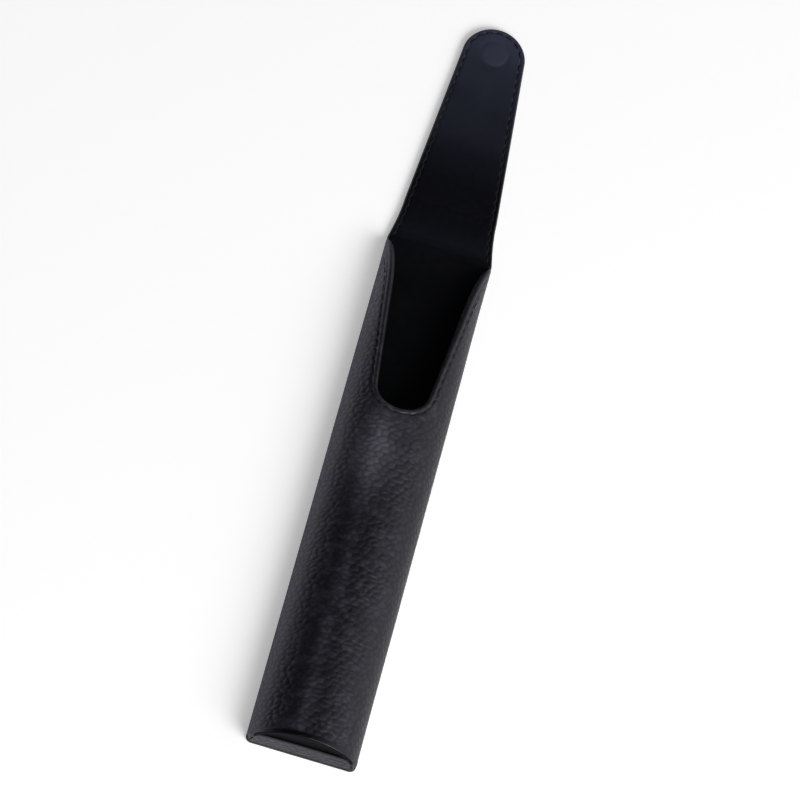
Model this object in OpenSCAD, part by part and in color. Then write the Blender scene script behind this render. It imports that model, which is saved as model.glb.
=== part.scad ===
/* [Sleeve body] */
// Width of the sleeve across its flat back
body_w = 30; // [27:0.5:40]
// Length of the sleeve from its closed end to the fold at the mouth
body_l = 155; // [135:1:180]
// Height of the moulded front's crown above the back face
body_h = 14.5; // [12.5:0.5:20]
// Radius of the two corners at the closed end
corner_r = 1.6; // [0.8:0.1:2.5]
// Depth of the end cap's face behind the edge of the front
cap_recess = 0.6; // [0.6:0.05:1]

/* [Thumb notch] */
// Depth of the notch from the mouth fold to its round end
notch_depth = 56; // [30:1:75]
// Radius of the notch's round end
notch_end_r = 7.7; // [5:0.1:9]
// Distance from the notch's straight side to the body's side, taken at the mouth fold
notch_side_inset = 1.5; // [1:0.1:3]
// Extra half width that the notch's flare gains by the mouth fold
notch_flare = 2; // [1:0.1:3]
// Length of the flare along the body
notch_flare_l = 17; // [10:1:22]

/* [Flap] */
// Length of the tongue from its fold to its tip
tongue_l = 60; // [58:1:80]
// Radius of the tongue's round tip
tongue_tip_r = 9; // [6:0.1:11]
// Distance from the tongue's side to the body's side, taken at the tongue fold
tongue_root_inset = 1.75; // [1:0.05:3]
// Sharpness of the taper along the spine
spine_taper = 1.6; // [1:0.1:3]
// Clearance between the closed tongue and the crown of the front
closing_gap = 0.5; // [0.3:0.1:2]

/* [Layers] */
// Thickness of the outer leather
leather_t = 0.9; // [0.8:0.05:1.2]
// Thickness of the boards in the back and the flap
board_t = 0.6; // [0.4:0.05:1]
// Thickness of the boards in the front and the end cap
front_board_t = 0.5; // [0.3:0.05:0.8]
// Thickness of the lining
lining_t = 0.5; // [0.4:0.05:0.8]
// Width of the leather edge that is turned in round the notch and the flap
hem_w = 2.6; // [2.4:0.1:4]
// Distance that the lining stays inside the leather's edge
lining_inset = 0.3; // [0.1:0.05:0.6]
// Distance that each board keeps from a fold line, so that the leather can bend
fold_relief = 1; // [0.5:0.1:2]

/* [Stitching] */
// Diameter of the thread
thread_d = 0.4; // [0.3:0.02:0.4]
// Room round the thread in its channel
thread_clearance = 0.1; // [0.09:0.01:0.12]
// Distance from one stitch to the next
stitch_pitch = 3; // [2.6:0.1:4]
// Length of one stitch on the surface
stitch_l = 2.2; // [1.8:0.1:2.2]
// Distance from the turned edge to its line of stitches
stitch_inset = 1.45; // [1.2:0.05:1.6]
// Distance from a fold line to the nearest stitch of the spine
spine_stitch_gap = 0.8; // [0.6:0.1:1.2]
// Height of the side seams above the back leather
seam_rise = 0.8; // [0.7:0.1:2]
// Distance from the closed end to the first stitch of a side seam
seam_start = 4; // [3:0.5:10]
// Distance from the mouth fold to the last stitch of a side seam
seam_mouth_gap = 7; // [6:0.5:12]

/* [Hidden] */

leather_colour = "#2b2b30";
board_colour = "#8a7256";
lining_colour = "#1a1b28";
thread_colour = "#121214";

// Straight pieces that stand in for each round stretch of an outline
arch_steps = 48;
round_steps = 24;
side_steps = 16;
// Sides of a rod and of a rounded corner's full circle
rod_sides = 24;
corner_sides = 48;
// Overshoot of every cutting shape
cut = 1;

half_w = body_w / 2;
// Total thickness of the back and of the flap, whose lining faces are level
stack_t = leather_t + board_t + lining_t;
floor_z = leather_t + board_t;
// Rise of the front's arch above the back leather
rise = body_h - leather_t;
// Depths of the layers of the front below its outer surface
front_board_in = leather_t;
front_lining_in = leather_t + front_board_t;
front_wall_t = leather_t + front_board_t + lining_t;
cap_face_y = cap_recess;
cap_board_y = cap_face_y + leather_t;
cap_lining_y = cap_board_y + front_board_t;
pocket_end_y = cap_lining_y + lining_t;

// The spine is as long as the front is high, so that the closed tongue clears the crown
spine_l = body_h + closing_gap - stack_t;
total_l = body_l + spine_l + tongue_l;
tongue_fold_y = body_l + spine_l;
tongue_root_half_w = half_w - tongue_root_inset;
tip_centre_y = tongue_l - tongue_tip_r;

channel_w = thread_d + 2 * thread_clearance;
channel_depth = channel_w;
// The lining is thin, so its channel is shallower than the thread
lining_channel_share = 0.6;
lining_channel_depth = lining_channel_share * lining_t;

// Angle at which a line from a point touches a circle about the origin; side is 1 or -1
function touch_angle(p, r, side) = atan2(p[1], p[0]) + side * acos(r / norm(p));

function mirrored(points) = [for (i = [len(points) - 1:-1:0]) [-points[i][0], points[i][1]]];

function both_sides(points) = concat(points, mirrored(points));

// Radius on which a straight stitch's ends lie for the stitch to straddle an arc of radius r
function chord_radius(r) = r + stitch_l * stitch_l / (16 * r);

function arch_points(depth) = [
    for (i = [0:arch_steps])
        let (t = 180 * i / arch_steps)
            [(half_w - depth) * cos(t), (rise - depth) * sin(t)]
];

// Height of the front at a distance x from the middle, for a layer at a given depth
function front_z(x, depth) =
    leather_t + (rise - depth) * sqrt(1 - pow(x / (half_w - depth), 2));

notch_centre_y = body_l - notch_depth + notch_end_r;
notch_mouth = [half_w - notch_side_inset, body_l - notch_centre_y];
notch_touch = touch_angle(notch_mouth, notch_end_r, -1);
notch_side_start_y = notch_centre_y + notch_end_r * sin(notch_touch);
notch_flare_y = body_l - notch_flare_l;

// Half width of the notch along its side, grown by a margin
function notch_x(y, grow) =
    (notch_end_r + grow) / cos(notch_touch)
    - (y - notch_centre_y) * tan(notch_touch)
    + notch_flare * pow(max(0, y - notch_flare_y) / notch_flare_l, 2);

function notch_side(grow) = concat(
    [
        for (i = [0:round_steps])
            let (t = -90 + (notch_touch + 90) * i / round_steps)
                [(notch_end_r + grow) * cos(t), notch_centre_y + (notch_end_r + grow) * sin(t)]
    ],
    [
        for (i = [1:side_steps])
            let (y = notch_side_start_y + (body_l + cut - notch_side_start_y) * i / side_steps)
                [notch_x(y, grow), y]
    ]
);

tongue_touch = touch_angle([tongue_root_half_w, -tip_centre_y], tongue_tip_r, 1);

// Right side of the tongue, from a line at start_y round to the tip, y counted from its fold
function tongue_side(inset, start_y) = concat(
    [[(tongue_tip_r - inset) / cos(tongue_touch)
        + (tip_centre_y - start_y) * tan(tongue_touch), start_y]],
    [
        for (i = [0:round_steps])
            let (t = tongue_touch + (90 - tongue_touch) * i / round_steps)
                [(tongue_tip_r - inset) * cos(t), tip_centre_y + (tongue_tip_r - inset) * sin(t)]
    ]
);

// Half width of the spine at a distance y from the mouth fold
function spine_x(y) =
    tongue_root_half_w
    + tongue_root_inset * pow(1 - min(1, max(0, y) / spine_l), spine_taper);

function spine_side(inset, start_y, end_y) = [
    for (i = [0:side_steps])
        let (y = start_y + (end_y - start_y) * i / side_steps)
            [spine_x(y) - inset, y]
];

// The origin is under the middle of the open sleeve
module in_frame(y = 0) {
    translate([0, y - total_l / 2, 0]) children();
}

module slab(z_from, z_to) {
    translate([0, 0, z_from]) linear_extrude(height = z_to - z_from) children();
}

module along_body(y_from, y_to) {
    translate([0, y_to, leather_t])
        rotate([90, 0, 0])
            linear_extrude(height = y_to - y_from)
                children();
}

module rod(from, to, d) {
    way = to - from;
    translate(from)
        rotate([0, acos(way[2] / norm(way)), atan2(way[1], way[0])])
            cylinder(h = norm(way), d = d, $fn = rod_sides);
}

module arch_disc(depth) {
    polygon(arch_points(depth));
}

module arch_ring(depth, inner_depth) {
    difference() {
        arch_disc(depth);
        polygon(concat(
            arch_points(inner_depth),
            [[inner_depth - half_w, -cut], [half_w - inner_depth, -cut]]
        ));
    }
}

// Section of the back's board and lining, which lie between the walls of the front
module floor_section() {
    translate([front_wall_t - half_w, -cut])
        square([body_w - 2 * front_wall_t, cut + board_t + lining_t]);
}

module notch_prism(grow) {
    slab(-cut, body_h + cut) polygon(both_sides(notch_side(grow)));
}

// Outline of the body seen from above, with its closed end's corners rounded
module body_outline() {
    translate([-half_w, corner_r]) square([body_w, body_l - corner_r]);
    translate([corner_r - half_w, 0]) square([body_w - 2 * corner_r, corner_r + cut]);
    for (side = [-1, 1])
        translate([side * (half_w - corner_r), corner_r]) circle(r = corner_r, $fn = corner_sides);
}

module tongue_outline(inset, start_y) {
    polygon(both_sides(tongue_side(inset, start_y)));
}

module spine_outline(inset, start_y, end_y) {
    polygon(both_sides(spine_side(inset, start_y, end_y)));
}

module back_leather() color(leather_colour) in_frame() {
    slab(0, leather_t) body_outline();
}

module back_board() color(board_colour) in_frame() {
    slab(leather_t, floor_z)
        translate([front_wall_t - half_w, cap_board_y])
            square([body_w - 2 * front_wall_t, body_l - fold_relief - cap_board_y]);
}

module back_lining() color(lining_colour) in_frame() {
    slab(floor_z, stack_t)
        translate([front_wall_t - half_w, cap_board_y])
            square([body_w - 2 * front_wall_t, body_l - cap_board_y]);
}

module front_leather() color(leather_colour) in_frame() {
    difference() {
        intersection() {
            union() {
                along_body(0, body_l) arch_ring(0, front_board_in);
                // The edge round the notch, turned in over the board
                intersection() {
                    along_body(cap_board_y, body_l) arch_ring(front_board_in, front_lining_in);
                    notch_prism(hem_w);
                }
            }
            slab(0, body_h + cut) body_outline();
        }
        notch_prism(0);
        // Channel for the stitches round the notch
        intersection() {
            along_body(cap_board_y, body_l + cut) arch_ring(-cut, channel_depth);
            difference() {
                notch_prism(stitch_inset + channel_w / 2);
                notch_prism(stitch_inset - channel_w / 2);
            }
        }
        for (side = [-1, 1])
            seam_channel(side);
    }
}

module seam_channel(side) {
    translate([
        side < 0 ? -half_w - cut : half_w - channel_depth,
        seam_start - thread_clearance,
        leather_t + seam_rise - channel_w / 2
    ])
        cube([
            channel_depth + cut,
            body_l - seam_mouth_gap - seam_start + 2 * thread_clearance,
            channel_w
        ]);
}

module front_board() color(board_colour) in_frame() {
    difference() {
        along_body(cap_board_y, body_l) arch_ring(front_board_in, front_lining_in);
        notch_prism(hem_w);
    }
}

module front_lining() color(lining_colour) in_frame() {
    difference() {
        along_body(cap_board_y, body_l)
            difference() {
                arch_ring(front_lining_in, front_wall_t);
                floor_section();
            }
        notch_prism(lining_inset);
    }
}

module end_cap_leather() color(leather_colour) in_frame() {
    along_body(cap_face_y, cap_board_y) arch_disc(front_board_in);
}

// A layer behind the end cap's leather, standing on the back lining
module end_cap_layer(y_from, y_to) {
    along_body(y_from, y_to)
        difference() {
            arch_disc(front_wall_t);
            floor_section();
        }
}

module end_cap_board() color(board_colour) in_frame() {
    end_cap_layer(cap_board_y, cap_lining_y);
}

module end_cap_lining() color(lining_colour) in_frame() {
    end_cap_layer(cap_lining_y, pocket_end_y);
}

module side_seam(side) {
    seam_l = body_l - seam_mouth_gap - seam_start;
    count = floor((seam_l - stitch_l) / stitch_pitch) + 1;
    x = side * (half_w - channel_depth / 2);
    z = leather_t + seam_rise;
    for (i = [0:count - 1])
        rod(
            [x, seam_start + i * stitch_pitch, z],
            [x, seam_start + i * stitch_pitch + stitch_l, z],
            thread_d
        );
}

module left_seam_thread() color(thread_colour) in_frame() side_seam(-1);

module right_seam_thread() color(thread_colour) in_frame() side_seam(1);

// Stitches in the recess between the end cap's face and the edge of the front
module end_seam_thread() color(thread_colour) in_frame() {
    depth = front_board_in + channel_depth / 2;
    a = half_w - depth;
    b = rise - depth;
    // The stitches leave this angle free at each end of the arch
    end_angle = 6;
    mean_r = (a + b) / 2;
    pitch_angle = stitch_pitch / mean_r * 180 / PI;
    stitch_angle = stitch_l / mean_r * 180 / PI;
    count = floor((180 - 2 * end_angle - stitch_angle) / pitch_angle) + 1;
    first = 90 - ((count - 1) * pitch_angle + stitch_angle) / 2;
    y = cap_face_y - channel_depth / 2;
    for (i = [0:count - 1])
        let (t0 = first + i * pitch_angle, t1 = t0 + stitch_angle)
            rod(
                [a * cos(t0), y, leather_t + b * sin(t0)],
                [a * cos(t1), y, leather_t + b * sin(t1)],
                thread_d
            );
}

function on_front(p) = [p[0], p[1], front_z(p[0], channel_depth / 2)];

module notch_thread() color(thread_colour) in_frame() {
    r = notch_end_r + stitch_inset;
    pitch_angle = stitch_pitch / r * 180 / PI;
    stitch_angle = stitch_l / r * 180 / PI;
    end_count = floor((90 + notch_touch) / pitch_angle);
    for (i = [-end_count:end_count])
        let (t0 = -90 + i * pitch_angle - stitch_angle / 2, t1 = t0 + stitch_angle, rc = chord_radius(r))
            rod(
                on_front([rc * cos(t0), notch_centre_y + rc * sin(t0)]),
                on_front([rc * cos(t1), notch_centre_y + rc * sin(t1)]),
                thread_d
            );
    start_y = notch_centre_y + stitch_pitch - stitch_l;
    side_count = floor((body_l - seam_mouth_gap - start_y - stitch_l) / stitch_pitch) + 1;
    for (side = [-1, 1])
        for (i = [0:side_count - 1])
            let (y0 = start_y + i * stitch_pitch, y1 = y0 + stitch_l)
                rod(
                    on_front([side * notch_x(y0, stitch_inset), y0]),
                    on_front([side * notch_x(y1, stitch_inset), y1]),
                    thread_d
                );
}

module spine_channel(z_from, z_to) {
    slab(z_from, z_to)
        difference() {
            spine_outline(stitch_inset - channel_w / 2, -cut, spine_l + cut);
            spine_outline(stitch_inset + channel_w / 2, -2 * cut, spine_l + 2 * cut);
        }
}

module spine_leather() color(leather_colour) in_frame(body_l) {
    difference() {
        slab(0, floor_z) spine_outline(0, 0, spine_l);
        slab(leather_t, floor_z + cut) spine_outline(hem_w, fold_relief, spine_l - fold_relief);
        spine_channel(-cut, channel_depth);
    }
}

module spine_board() color(board_colour) in_frame(body_l) {
    slab(leather_t, floor_z) spine_outline(hem_w, fold_relief, spine_l - fold_relief);
}

module spine_lining() color(lining_colour) in_frame(body_l) {
    difference() {
        slab(floor_z, stack_t) spine_outline(lining_inset, 0, spine_l);
        spine_channel(stack_t - lining_channel_depth, stack_t + cut);
    }
}

under_thread_z = channel_depth / 2;
over_thread_z = stack_t - lining_channel_depth + thread_clearance / 2 + thread_d / 2;

module spine_thread() color(thread_colour) in_frame(body_l) {
    // The pitch is widened to fill the spine, so that both end stitches stay by the folds
    run = spine_l - 2 * spine_stitch_gap - stitch_l;
    gaps = floor(run / stitch_pitch);
    pitch = run / gaps;
    for (z = [under_thread_z, over_thread_z])
        for (side = [-1, 1])
            for (i = [0:gaps])
                let (y0 = spine_stitch_gap + i * pitch, y1 = y0 + stitch_l)
                    rod(
                        [side * (spine_x(y0) - stitch_inset), y0, z],
                        [side * (spine_x(y1) - stitch_inset), y1, z],
                        thread_d
                    );
}

module tongue_channel(z_from, z_to) {
    slab(z_from, z_to)
        difference() {
            tongue_outline(stitch_inset - channel_w / 2, -cut);
            tongue_outline(stitch_inset + channel_w / 2, -2 * cut);
        }
}

module tongue_leather() color(leather_colour) in_frame(tongue_fold_y) {
    difference() {
        slab(0, floor_z) tongue_outline(0, 0);
        slab(leather_t, floor_z + cut) tongue_outline(hem_w, fold_relief);
        tongue_channel(-cut, channel_depth);
    }
}

module tongue_board() color(board_colour) in_frame(tongue_fold_y) {
    slab(leather_t, floor_z) tongue_outline(hem_w, fold_relief);
}

module tongue_lining() color(lining_colour) in_frame(tongue_fold_y) {
    difference() {
        slab(floor_z, stack_t) tongue_outline(lining_inset, 0);
        tongue_channel(stack_t - lining_channel_depth, stack_t + cut);
    }
}

module tongue_thread() color(thread_colour) in_frame(tongue_fold_y) {
    r = tongue_tip_r - stitch_inset;
    pitch_angle = stitch_pitch / r * 180 / PI;
    stitch_angle = stitch_l / r * 180 / PI;
    tip_count = floor((90 - tongue_touch - stitch_angle / 2) / pitch_angle);
    rc = chord_radius(r);
    side_end_y = tip_centre_y + r * sin(tongue_touch);
    side_count = floor((side_end_y - thread_clearance) / stitch_pitch);
    side_x0 = tongue_side(stitch_inset, 0)[0][0];
    for (z = [under_thread_z, over_thread_z]) {
        for (i = [-tip_count:tip_count])
            let (t0 = 90 + i * pitch_angle - stitch_angle / 2, t1 = t0 + stitch_angle)
                rod(
                    [rc * cos(t0), tip_centre_y + rc * sin(t0), z],
                    [rc * cos(t1), tip_centre_y + rc * sin(t1), z],
                    thread_d
                );
        for (side = [-1, 1])
            for (i = [0:side_count - 1])
                let (y0 = side_end_y - (i + 1) * stitch_pitch, y1 = y0 + stitch_l)
                    rod(
                        [side * (side_x0 - y0 * tan(tongue_touch)), y0, z],
                        [side * (side_x0 - y1 * tan(tongue_touch)), y1, z],
                        thread_d
                    );
    }
}

back_leather();
back_board();
back_lining();
front_leather();
front_board();
front_lining();
end_cap_leather();
end_cap_board();
end_cap_lining();
left_seam_thread();
right_seam_thread();
end_seam_thread();
notch_thread();
spine_leather();
spine_board();
spine_lining();
spine_thread();
tongue_leather();
tongue_board();
tongue_lining();
tongue_thread();
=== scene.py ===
import math

import bpy
import numpy as np
from mathutils import Matrix, Vector
from mathutils.geometry import delaunay_2d_cdt
from mathutils.kdtree import KDTree

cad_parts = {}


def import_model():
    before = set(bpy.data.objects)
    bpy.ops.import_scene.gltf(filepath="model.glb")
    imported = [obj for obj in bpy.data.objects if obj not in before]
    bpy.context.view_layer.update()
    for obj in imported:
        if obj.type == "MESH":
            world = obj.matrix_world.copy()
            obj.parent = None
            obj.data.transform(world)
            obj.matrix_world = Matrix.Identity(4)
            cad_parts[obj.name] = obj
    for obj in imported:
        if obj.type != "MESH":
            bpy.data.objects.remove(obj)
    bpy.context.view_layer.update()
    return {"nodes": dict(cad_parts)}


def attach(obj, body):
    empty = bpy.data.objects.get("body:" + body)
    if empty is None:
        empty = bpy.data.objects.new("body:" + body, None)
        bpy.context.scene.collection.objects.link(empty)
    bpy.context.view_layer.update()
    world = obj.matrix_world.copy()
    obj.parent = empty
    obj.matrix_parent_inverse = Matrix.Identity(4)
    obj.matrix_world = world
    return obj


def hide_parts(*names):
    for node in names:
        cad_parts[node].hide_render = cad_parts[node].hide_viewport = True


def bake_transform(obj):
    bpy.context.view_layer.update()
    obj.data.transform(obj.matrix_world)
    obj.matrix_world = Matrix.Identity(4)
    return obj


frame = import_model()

# Lengths are in mm unless a comment says otherwise, and Y counts from the closed end.
MM = 0.001
# The frame's origin
ROW_Y = 114.0

# Sizes repeated from the part's source
HALF_W, BODY_L, RISE = 15.0, 155.0, 13.6
LEATHER, FRONT_WALL, STACK, HEM_T = 0.9, 1.9, 2.0, 1.5
CORNER_R, CAP_RECESS, LINING_INSET = 1.6, 0.6, 0.3
NOTCH_R, NOTCH_Y, NOTCH_MOUTH_X = 7.7, 106.7, 13.5
NOTCH_FLARE, NOTCH_FLARE_L = 2.0, 17.0
FOLD_1, FOLD_2 = 155.0, 168.0
ROOT_HALF_W, SPINE_TAPER, TIP_R, TIP_Y = 13.25, 1.6, 9.0, 219.0
STITCH_PITCH, STITCH_L, STITCH_D, THREAD_R = 3.0, 2.2, 1.45, 0.2
SEAM_START, SEAM_MOUTH_GAP, SEAM_RISE, SPINE_GAP = 4.0, 7.0, 0.8, 0.8

# Line on which the back and the lining are parted into two pieces
SPLIT_Y = 161.5
# The round press mark near the flap's tip
MARK_Y, MARK_R = 219.7, 3.9
# Height of the strip that is turned up at the closed end
TURN_UP = 5.5
# Room between a new sheet and its neighbour
ROOM = 0.02
STEP = 0.3
GRAIN_SEED = 11


# ---- shape helpers

def smooth(a, b, x):
    t = np.clip((x - a) / (b - a), 0.0, 1.0)
    return t * t * (3 - 2 * t)


def bump(x, centre, width):
    return np.exp(-(((x - centre) / width) ** 2))


def touch(p, r, side):
    """Angle at which a line from p touches a circle of radius r about the origin."""
    return math.atan2(p[1], p[0]) + side * math.acos(r / math.hypot(*p))


NOTCH_TOUCH = touch((NOTCH_MOUTH_X, BODY_L - NOTCH_Y), NOTCH_R, -1)
TONGUE_TOUCH = touch((ROOT_HALF_W, FOLD_2 - TIP_Y), TIP_R, 1)


def notch_x(y, grow=0.0):
    flare = NOTCH_FLARE * (np.maximum(0.0, y - (BODY_L - NOTCH_FLARE_L)) / NOTCH_FLARE_L) ** 2
    return (NOTCH_R + grow) / math.cos(NOTCH_TOUCH) - (y - NOTCH_Y) * math.tan(NOTCH_TOUCH) + flare


def spine_x(y):
    left = 1 - np.clip((y - FOLD_1) / (FOLD_2 - FOLD_1), 0, 1)
    return ROOT_HALF_W + (HALF_W - ROOT_HALF_W) * left ** SPINE_TAPER


# The arch's table from its angle to the distance along it, counted from the crown
ARCH_T = np.linspace(0, math.pi, 6001)
_dx = np.diff(HALF_W * np.cos(ARCH_T))
_dz = np.diff(RISE * np.sin(ARCH_T))
ARCH_S = np.concatenate([[0.0], np.cumsum(np.hypot(_dx, _dz))])
ARCH_HALF = ARCH_S[-1] / 2
ARCH_S = ARCH_HALF - ARCH_S


def arch_s(t):
    return np.interp(t, ARCH_T, ARCH_S)


def arch_s_at_x(x):
    return arch_s(np.arccos(np.clip(x / HALF_W, -1, 1)))


def arch(p, depth):
    """Place of a point of the unrolled front, at a depth below its outer surface."""
    t = np.interp(p[:, 0], ARCH_S[::-1], ARCH_T[::-1])
    x, z = HALF_W * np.cos(t), RISE * np.sin(t)
    nx, nz = x / HALF_W ** 2, z / RISE ** 2
    n = np.hypot(nx, nz)
    return np.stack([x - nx / n * depth, p[:, 1], LEATHER + z - nz / n * depth], 1)


# ---- numpy noise

TABLE_SIZE = (127, 251)
RNG_TABLES = {}


def table(seed):
    if seed not in RNG_TABLES:
        RNG_TABLES[seed] = np.random.default_rng(seed).random((*TABLE_SIZE, 3))
    return RNG_TABLES[seed]


def at_cell(t, i, j):
    return t[i % TABLE_SIZE[0], j % TABLE_SIZE[1]]


def noise(p, size, seed, channel=0):
    """Smooth value noise from -1 to 1 whose lumps are about size mm across."""
    t = table(seed)[:, :, channel]
    q = p / size
    i = np.floor(q).astype(int)
    f = q - i
    f = f * f * (3 - 2 * f)
    a = at_cell(t, i[:, 0], i[:, 1])
    b = at_cell(t, i[:, 0] + 1, i[:, 1])
    c = at_cell(t, i[:, 0], i[:, 1] + 1)
    d = at_cell(t, i[:, 0] + 1, i[:, 1] + 1)
    top = a + (b - a) * f[:, 0]
    low = c + (d - c) * f[:, 0]
    return 2 * (top + (low - top) * f[:, 1]) - 1


def cells(p, size, seed):
    """Distance to the nearest border between pebbles, in mm, and a random number for each pebble."""
    t = table(seed)
    size = np.asarray(size, float)
    q = p / size
    base = np.floor(q).astype(int)
    best = np.full(len(p), 1e9)
    centre = np.zeros((len(p), 2))
    tag = np.zeros(len(p))

    def seed_at(i, j):
        c = base + (i, j)
        r = at_cell(t, c[:, 0], c[:, 1])
        s = c + 0.5 + 0.72 * (r[:, :2] - 0.5)
        s[:, 0] += 0.5 * (c[:, 1] % 2)
        return s, r[:, 2]

    around = [seed_at(i, j) for i in range(-2, 3) for j in range(-2, 3)]
    for s, r in around:
        d = ((q - s) ** 2).sum(1)
        near = d < best
        best = np.where(near, d, best)
        centre[near] = s[near]
        tag[near] = r[near]
    edge = np.full(len(p), 1e9)
    for s, _ in around:
        gap = np.sqrt(((s - centre) ** 2).sum(1))
        d = ((q - s) ** 2).sum(1)
        e = (d - best) / (2 * np.maximum(gap, 1e-6))
        edge = np.where(gap > 1e-6, np.minimum(edge, e), edge)
    return edge * size.mean(), tag


def pebbles(p, seed=GRAIN_SEED):
    """Pebbled grain: how far the leather lies below its highest points in mm, and the pebble's
    roundness, from 0 in a crease to 1 on top."""
    warp = np.stack([noise(p, 3.4, seed + 1), noise(p, 3.4, seed + 1, 1)], 1)
    fine = np.stack([noise(p, 1.0, seed + 2), noise(p, 1.0, seed + 2, 1)], 1)
    q = p + 0.5 * warp + 0.14 * fine
    edge, tag = cells(q, (2.55, 1.6), seed)
    edge = np.sqrt(edge ** 2 + 0.05 ** 2) - 0.05
    dome = 1 - (1 - np.clip(edge / 0.78, 0, 1)) ** 2
    small_edge = cells(q + 40.0, (1.15, 0.85), seed + 5)[0]
    small = 1 - (1 - np.clip(small_edge / 0.3, 0, 1)) ** 2
    strong = 0.85 + 0.3 * noise(p, 7.0, seed + 3)
    depth = strong * (0.19 * (1 - dome) + 0.05 * tag) + 0.025 * (1 - small) * (0.4 + 0.6 * dome)
    return depth, np.clip(dome * (0.8 + 0.2 * small), 0, 1)


# ---- sheets from outlines

def mirrored(line):
    return line[::-1] * (-1, 1)


def both_sides(right):
    """The (line, label) stretches of the right side, then their mirror images back to the start."""
    return right + [(mirrored(line), label) for line, label in reversed(right)]


def resample(line, step):
    line = np.asarray(line, float)
    run = np.concatenate([[0.0], np.cumsum(np.hypot(*np.diff(line, axis=0).T))])
    n = max(2, int(round(run[-1] / step)))
    at = np.linspace(0, run[-1], n + 1)
    return np.stack([np.interp(at, run, line[:, 0]), np.interp(at, run, line[:, 1])], 1)


def outline(parts, step):
    """Joins (line, label) stretches into one closed outline of even steps that keeps each one's ends."""
    points, labels = [], []
    for line, label in parts:
        r = resample(line, step)[:-1]
        points.append(r)
        labels += [label] * len(r)
    return np.concatenate(points), np.array(labels)


def inward(o):
    along = np.roll(o, -1, 0) - np.roll(o, 1, 0)
    along /= np.linalg.norm(along, axis=1)[:, None]
    return np.stack([-along[:, 1], along[:, 0]], 1)


def to_outline(p, o):
    """For each point its distance to the closed outline, the index of its nearest corner there, and
    whether it is inside."""
    tree = KDTree(len(o))
    for i, (x, y) in enumerate(o):
        tree.insert((x, y, 0.0), i)
    tree.balance()
    near = np.array([tree.find((x, y, 0.0))[1] for x, y in p], int)
    dist = np.full(len(p), 1e9)
    for k in (-1, 0):
        a = o[(near + k) % len(o)]
        ab = o[(near + k + 1) % len(o)] - a
        u = np.clip(((p - a) * ab).sum(1) / (ab ** 2).sum(1), 0, 1)
        dist = np.minimum(dist, np.hypot(*(p - a - ab * u[:, None]).T))
    within = np.zeros(len(p), bool)
    order = np.argsort(p[:, 1])
    ys = p[order, 1]
    for a, b in zip(o, np.roll(o, -1, 0)):
        lo, hi = np.searchsorted(ys, (min(a[1], b[1]), max(a[1], b[1])))
        if hi > lo:
            i = order[lo:hi]
            x = a[0] + (p[i, 1] - a[1]) / (b[1] - a[1]) * (b[0] - a[0])
            within[i] ^= p[i, 0] < x
    return dist, near, within


def hexes(o, h):
    """Points of a hexagonal grid over the outline's box."""
    lo, hi = o.min(0), o.max(0)
    rows = np.arange(lo[1], hi[1] + h, h * 0.866)
    cols = np.arange(lo[0], hi[0] + h, h)
    x = cols[None, :] + np.where(np.arange(len(rows)) % 2, h / 2, 0.0)[:, None]
    return np.stack([x.ravel(), np.repeat(rows, len(cols))], 1)


# Distance between the points on a cut line, and how far other points keep from it
CUT_STEP, CUT_CLEAR = 0.4, 0.16


def triangulate(o, extra, cut):
    """Triangles inside outline o through the extra points, with edges along the line y = cut."""
    m = len(o)
    chain = []
    points = [o, extra]
    if cut is not None:
        ends = np.where(np.abs(o[:, 1] - cut) < 1e-6)[0]
        left = int(ends[np.argmin(o[ends, 0])])
        right = int(ends[np.argmax(o[ends, 0])])
        lo, hi = o[left, 0], o[right, 0]
        x = np.linspace(lo, hi, int(round((hi - lo) / CUT_STEP)) + 1)[1:-1]
        line = np.stack([x, np.full(len(x), cut)], 1)
        extra = extra[np.abs(extra[:, 1] - cut) > CUT_CLEAR]
        points = [o, extra, line]
        first = m + len(extra)
        ids = [left] + list(range(first, first + len(line))) + [right]
        chain = list(zip(ids[:-1], ids[1:]))
    every = np.concatenate(points)
    edges = [(i, (i + 1) % m) for i in range(m)] + chain
    r = delaunay_2d_cdt([Vector(v) for v in every], edges, [], 1, 1e-5)
    verts = np.array([tuple(v) for v in r[0]])
    where = {old: new for new, olds in enumerate(r[3]) for old in olds}
    loop = [where[i] for i in range(m)]
    f = np.array([list(v) for v in r[2]])
    p, q, w = verts[f[:, 0]], verts[f[:, 1]], verts[f[:, 2]]
    back = (q[:, 0] - p[:, 0]) * (w[:, 1] - p[:, 1]) < (q[:, 1] - p[:, 1]) * (w[:, 0] - p[:, 0])
    f[back] = f[back][:, ::-1]
    return verts, f.tolist(), loop


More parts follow.
